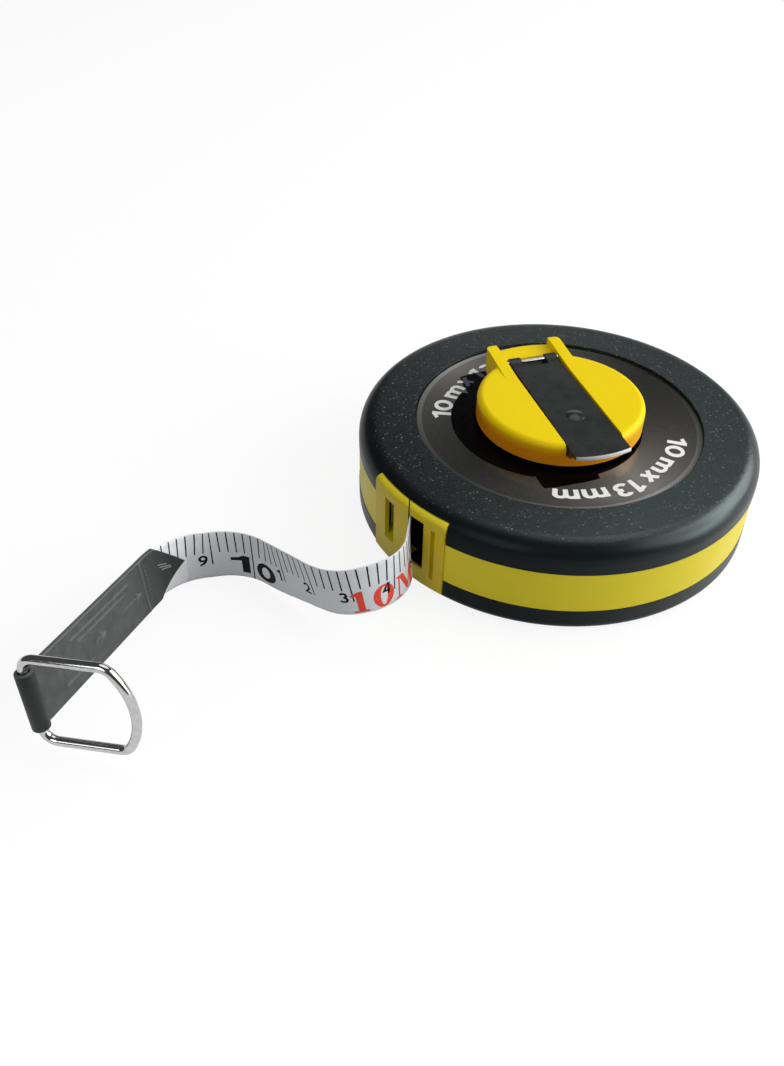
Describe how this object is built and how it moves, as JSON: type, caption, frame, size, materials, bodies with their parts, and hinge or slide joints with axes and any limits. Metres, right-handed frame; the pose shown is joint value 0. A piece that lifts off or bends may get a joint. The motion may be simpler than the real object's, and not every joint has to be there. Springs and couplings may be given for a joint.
{
  "type": "closed-reel tape measure",
  "caption": "Round closed-case tape measure with a fold-out winding crank, a free length of fibreglass tape that leaves a jawed mouth, an end tab and a wire ring.",
  "frame": {"origin": "centre of the case's underside, on the surface the case lies on", "axes": "+Z along the reel's axis, up through the crank; -X out through the mouth where the tape leaves"},
  "size_m": [0.1874, 0.098, 0.0314],
  "materials": {
    "case_black": "fine grained, near black",
    "band_yellow": "satin yellow",
    "label_foil": "printed foil, grey gradient",
    "steel": "zinc plated",
    "washer_white": "natural nylon",
    "reel_grey": "moulded",
    "tape_white": "printed coated fibreglass",
    "crank_yellow": "smooth moulded",
    "arm_black": "smooth moulded",
    "tab_grey": "dark grey, welded",
    "chrome": "polished wire"
  },
  "bodies": {
    "case": {"front_cover": "case_black", "rear_cover": "case_black", "rim_band": "band_yellow", "front_label": "label_foil", "case_screws": "steel", "rear_cap": "case_black", "thrust_washer": "washer_white"},
    "reel": {"reel_hub": "reel_grey", "reel_front_flange": "reel_grey", "tape_coil": "tape_white", "tape_anchor_pin": "steel", "crank_disc": "crank_yellow", "crank_hinge_pin": "chrome", "hub_washer": "steel", "hub_screw": "steel"},
    "arm": {"crank_arm": "arm_black", "knob_rivet": "arm_black"},
    "knob": {"finger_knob": "arm_black"},
    "tape": {"tape_blade": "tape_white", "end_tab": "tab_grey"},
    "ring": {"end_ring": "chrome"}
  },
  "joints": [
    {"name": "reel_spin", "type": "hinge", "parent": "case", "child": "reel", "pos_m": [0, 0, 0.0134], "axis": [0, 0, 1], "continuous": true},
    {"name": "arm_fold", "type": "hinge", "parent": "reel", "child": "arm", "pos_m": [0.00684, 0.01643, 0.03], "axis": [-0.9232, 0.3843, 0], "range_deg": [0, 180]},
    {"name": "knob_spin", "type": "hinge", "parent": "arm", "child": "knob", "pos_m": [-0.00311, -0.00748, 0.024], "axis": [0, 0, 1], "continuous": true},
    {"name": "tape_pull", "type": "slide", "parent": "case", "child": "tape", "axis": [-0.6587, -0.7524, 0], "range_m": [0, 0.025]},
    {"name": "ring_swing", "type": "hinge", "parent": "tape", "child": "ring", "pos_m": [-0.13622, 0.00751, 0.0133], "axis": [0.0358, 0.1819, 0.9827], "range_deg": [-266, 74]}
  ]
}
